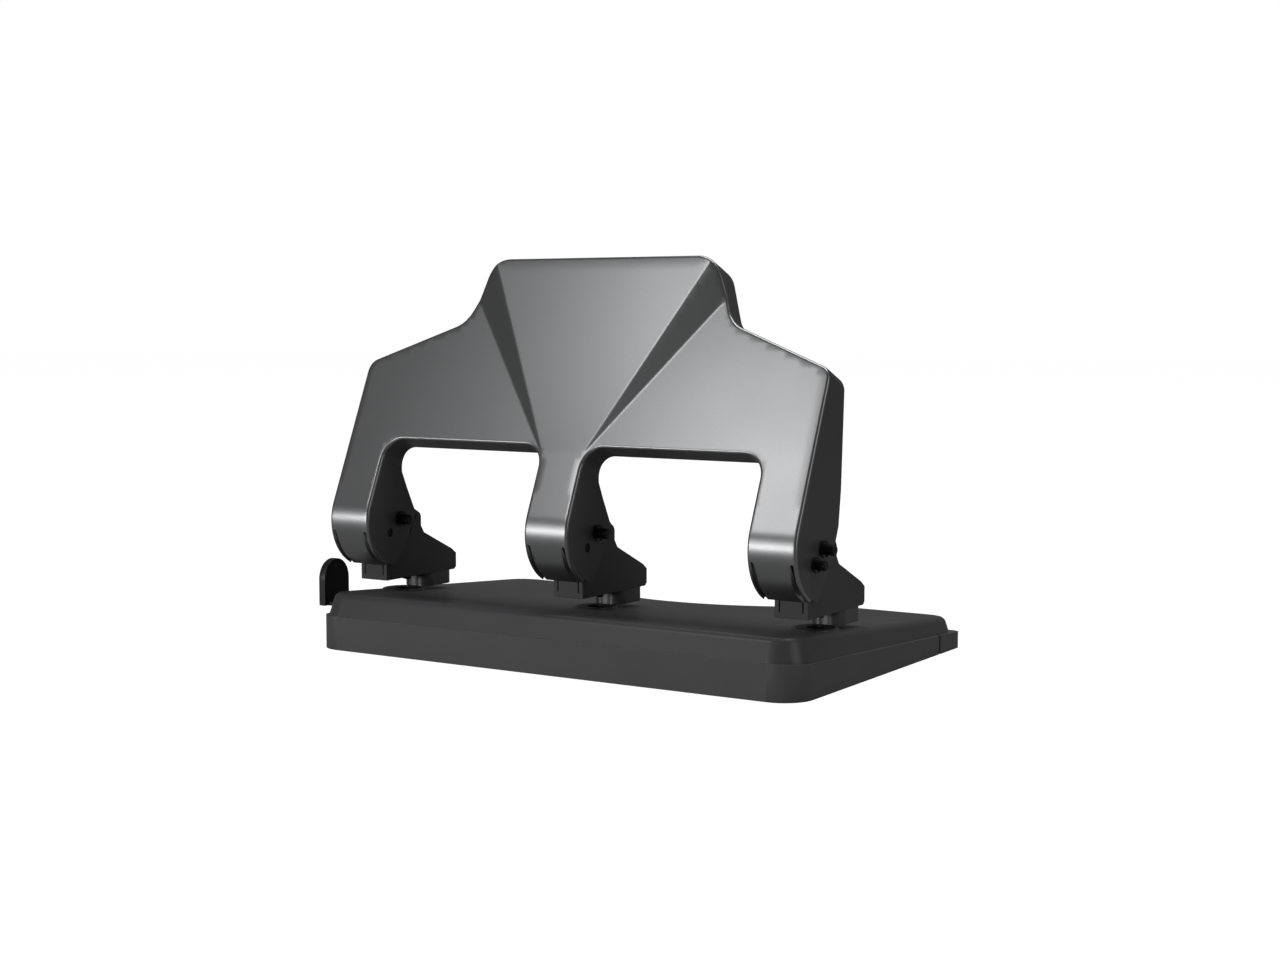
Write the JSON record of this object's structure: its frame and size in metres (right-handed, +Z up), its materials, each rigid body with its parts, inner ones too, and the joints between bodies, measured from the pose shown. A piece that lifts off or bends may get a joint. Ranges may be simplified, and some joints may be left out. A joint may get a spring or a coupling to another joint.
{
  "type": "hole punch",
  "caption": "Desktop lever punch for filing holes: a wide three-legged handle swings back and drives a punch under each leg into a low base with a chip tray.",
  "frame": {"origin": "on the table under the middle die, midway along the line of the three dies", "axes": "+X along the base towards the end away from the paper guide, +Y towards the rear, +Z up"},
  "size_m": [0.2685, 0.16, 0.1758],
  "materials": {
    "silver_paint": "satin metallic silver",
    "charcoal_paint": "satin charcoal",
    "base_paint": "satin dark grey",
    "black_plastic": "fine matt texture",
    "guide_plastic": "smooth matt black",
    "bracket_paint": "satin black",
    "bright_steel": "ground",
    "blackened_steel": "black oxide"
  },
  "bodies": {
    "base": {"base_housing": "base_paint", "hinge_block_left": "black_plastic", "hinge_block_right": "black_plastic", "hinge_pin_left": "bright_steel", "hinge_pin_right": "bright_steel", "block_screws": "blackened_steel", "guide_keepers": "black_plastic", "punch_bracket_left": "bracket_paint", "punch_bracket_centre": "bracket_paint", "punch_bracket_right": "bracket_paint", "guide_bush_left": "bright_steel", "guide_bush_centre": "bright_steel", "guide_bush_right": "bright_steel", "die_bush_left": "blackened_steel", "die_bush_centre": "blackened_steel", "die_bush_right": "blackened_steel", "return_spring_left": "bright_steel", "return_spring_centre": "bright_steel", "return_spring_right": "bright_steel", "pivot_pin_left": "blackened_steel", "pivot_pin_centre": "blackened_steel", "pivot_pin_right": "blackened_steel", "pivot_rings": "blackened_steel", "pivot_washers": "blackened_steel", "bracket_screws": "blackened_steel"},
    "handle": {"handle_cover": "silver_paint", "handle_frame": "charcoal_paint", "drive_pin_left": "blackened_steel", "drive_pin_centre": "blackened_steel", "drive_pin_right": "blackened_steel", "stop_pin_left": "blackened_steel", "stop_pin_centre": "blackened_steel", "stop_pin_right": "blackened_steel", "stop_ring": "blackened_steel", "cover_screws": "blackened_steel"},
    "tray": {"chip_tray": "black_plastic"},
    "guide": {"paper_guide": "guide_plastic"},
    "punch_left": {"punch_pin_left": "blackened_steel"},
    "punch_centre": {"punch_pin_centre": "blackened_steel"},
    "punch_right": {"punch_pin_right": "blackened_steel"}
  },
  "joints": [
    {"name": "handle_swing", "type": "hinge", "parent": "base", "child": "handle", "pos_m": [0, -0.0155, 0.0575], "axis": [-1, 0, 0], "range_deg": [0, 40], "stiffness_Nm_per_rad": 0.6, "springref_deg": -34.38},
    {"name": "punch_slide_left", "type": "slide", "parent": "base", "child": "punch_left", "axis": [0, 0, -1], "range_m": [0, 0.0078], "deforming": ["return_spring_left"]},
    {"name": "punch_slide_centre", "type": "slide", "parent": "base", "child": "punch_centre", "axis": [0, 0, -1], "range_m": [0, 0.0078], "deforming": ["return_spring_centre"]},
    {"name": "punch_slide_right", "type": "slide", "parent": "base", "child": "punch_right", "axis": [0, 0, -1], "range_m": [0, 0.0078], "deforming": ["return_spring_right"]},
    {"name": "tray_hinge", "type": "hinge", "parent": "base", "child": "tray", "pos_m": [0, 0.099, 0.0043], "axis": [1, 0, 0], "range_deg": [0, 50]},
    {"name": "guide_slide", "type": "slide", "parent": "base", "child": "guide", "axis": [1, 0, 0], "range_m": [-0.012, 0.015]}
  ],
  "couplings": [
    {"joint": "punch_slide_left", "follows": "handle_swing", "m_per_rad": 0.01109},
    {"joint": "punch_slide_centre", "follows": "handle_swing", "m_per_rad": 0.01109},
    {"joint": "punch_slide_right", "follows": "handle_swing", "m_per_rad": 0.01109}
  ]
}
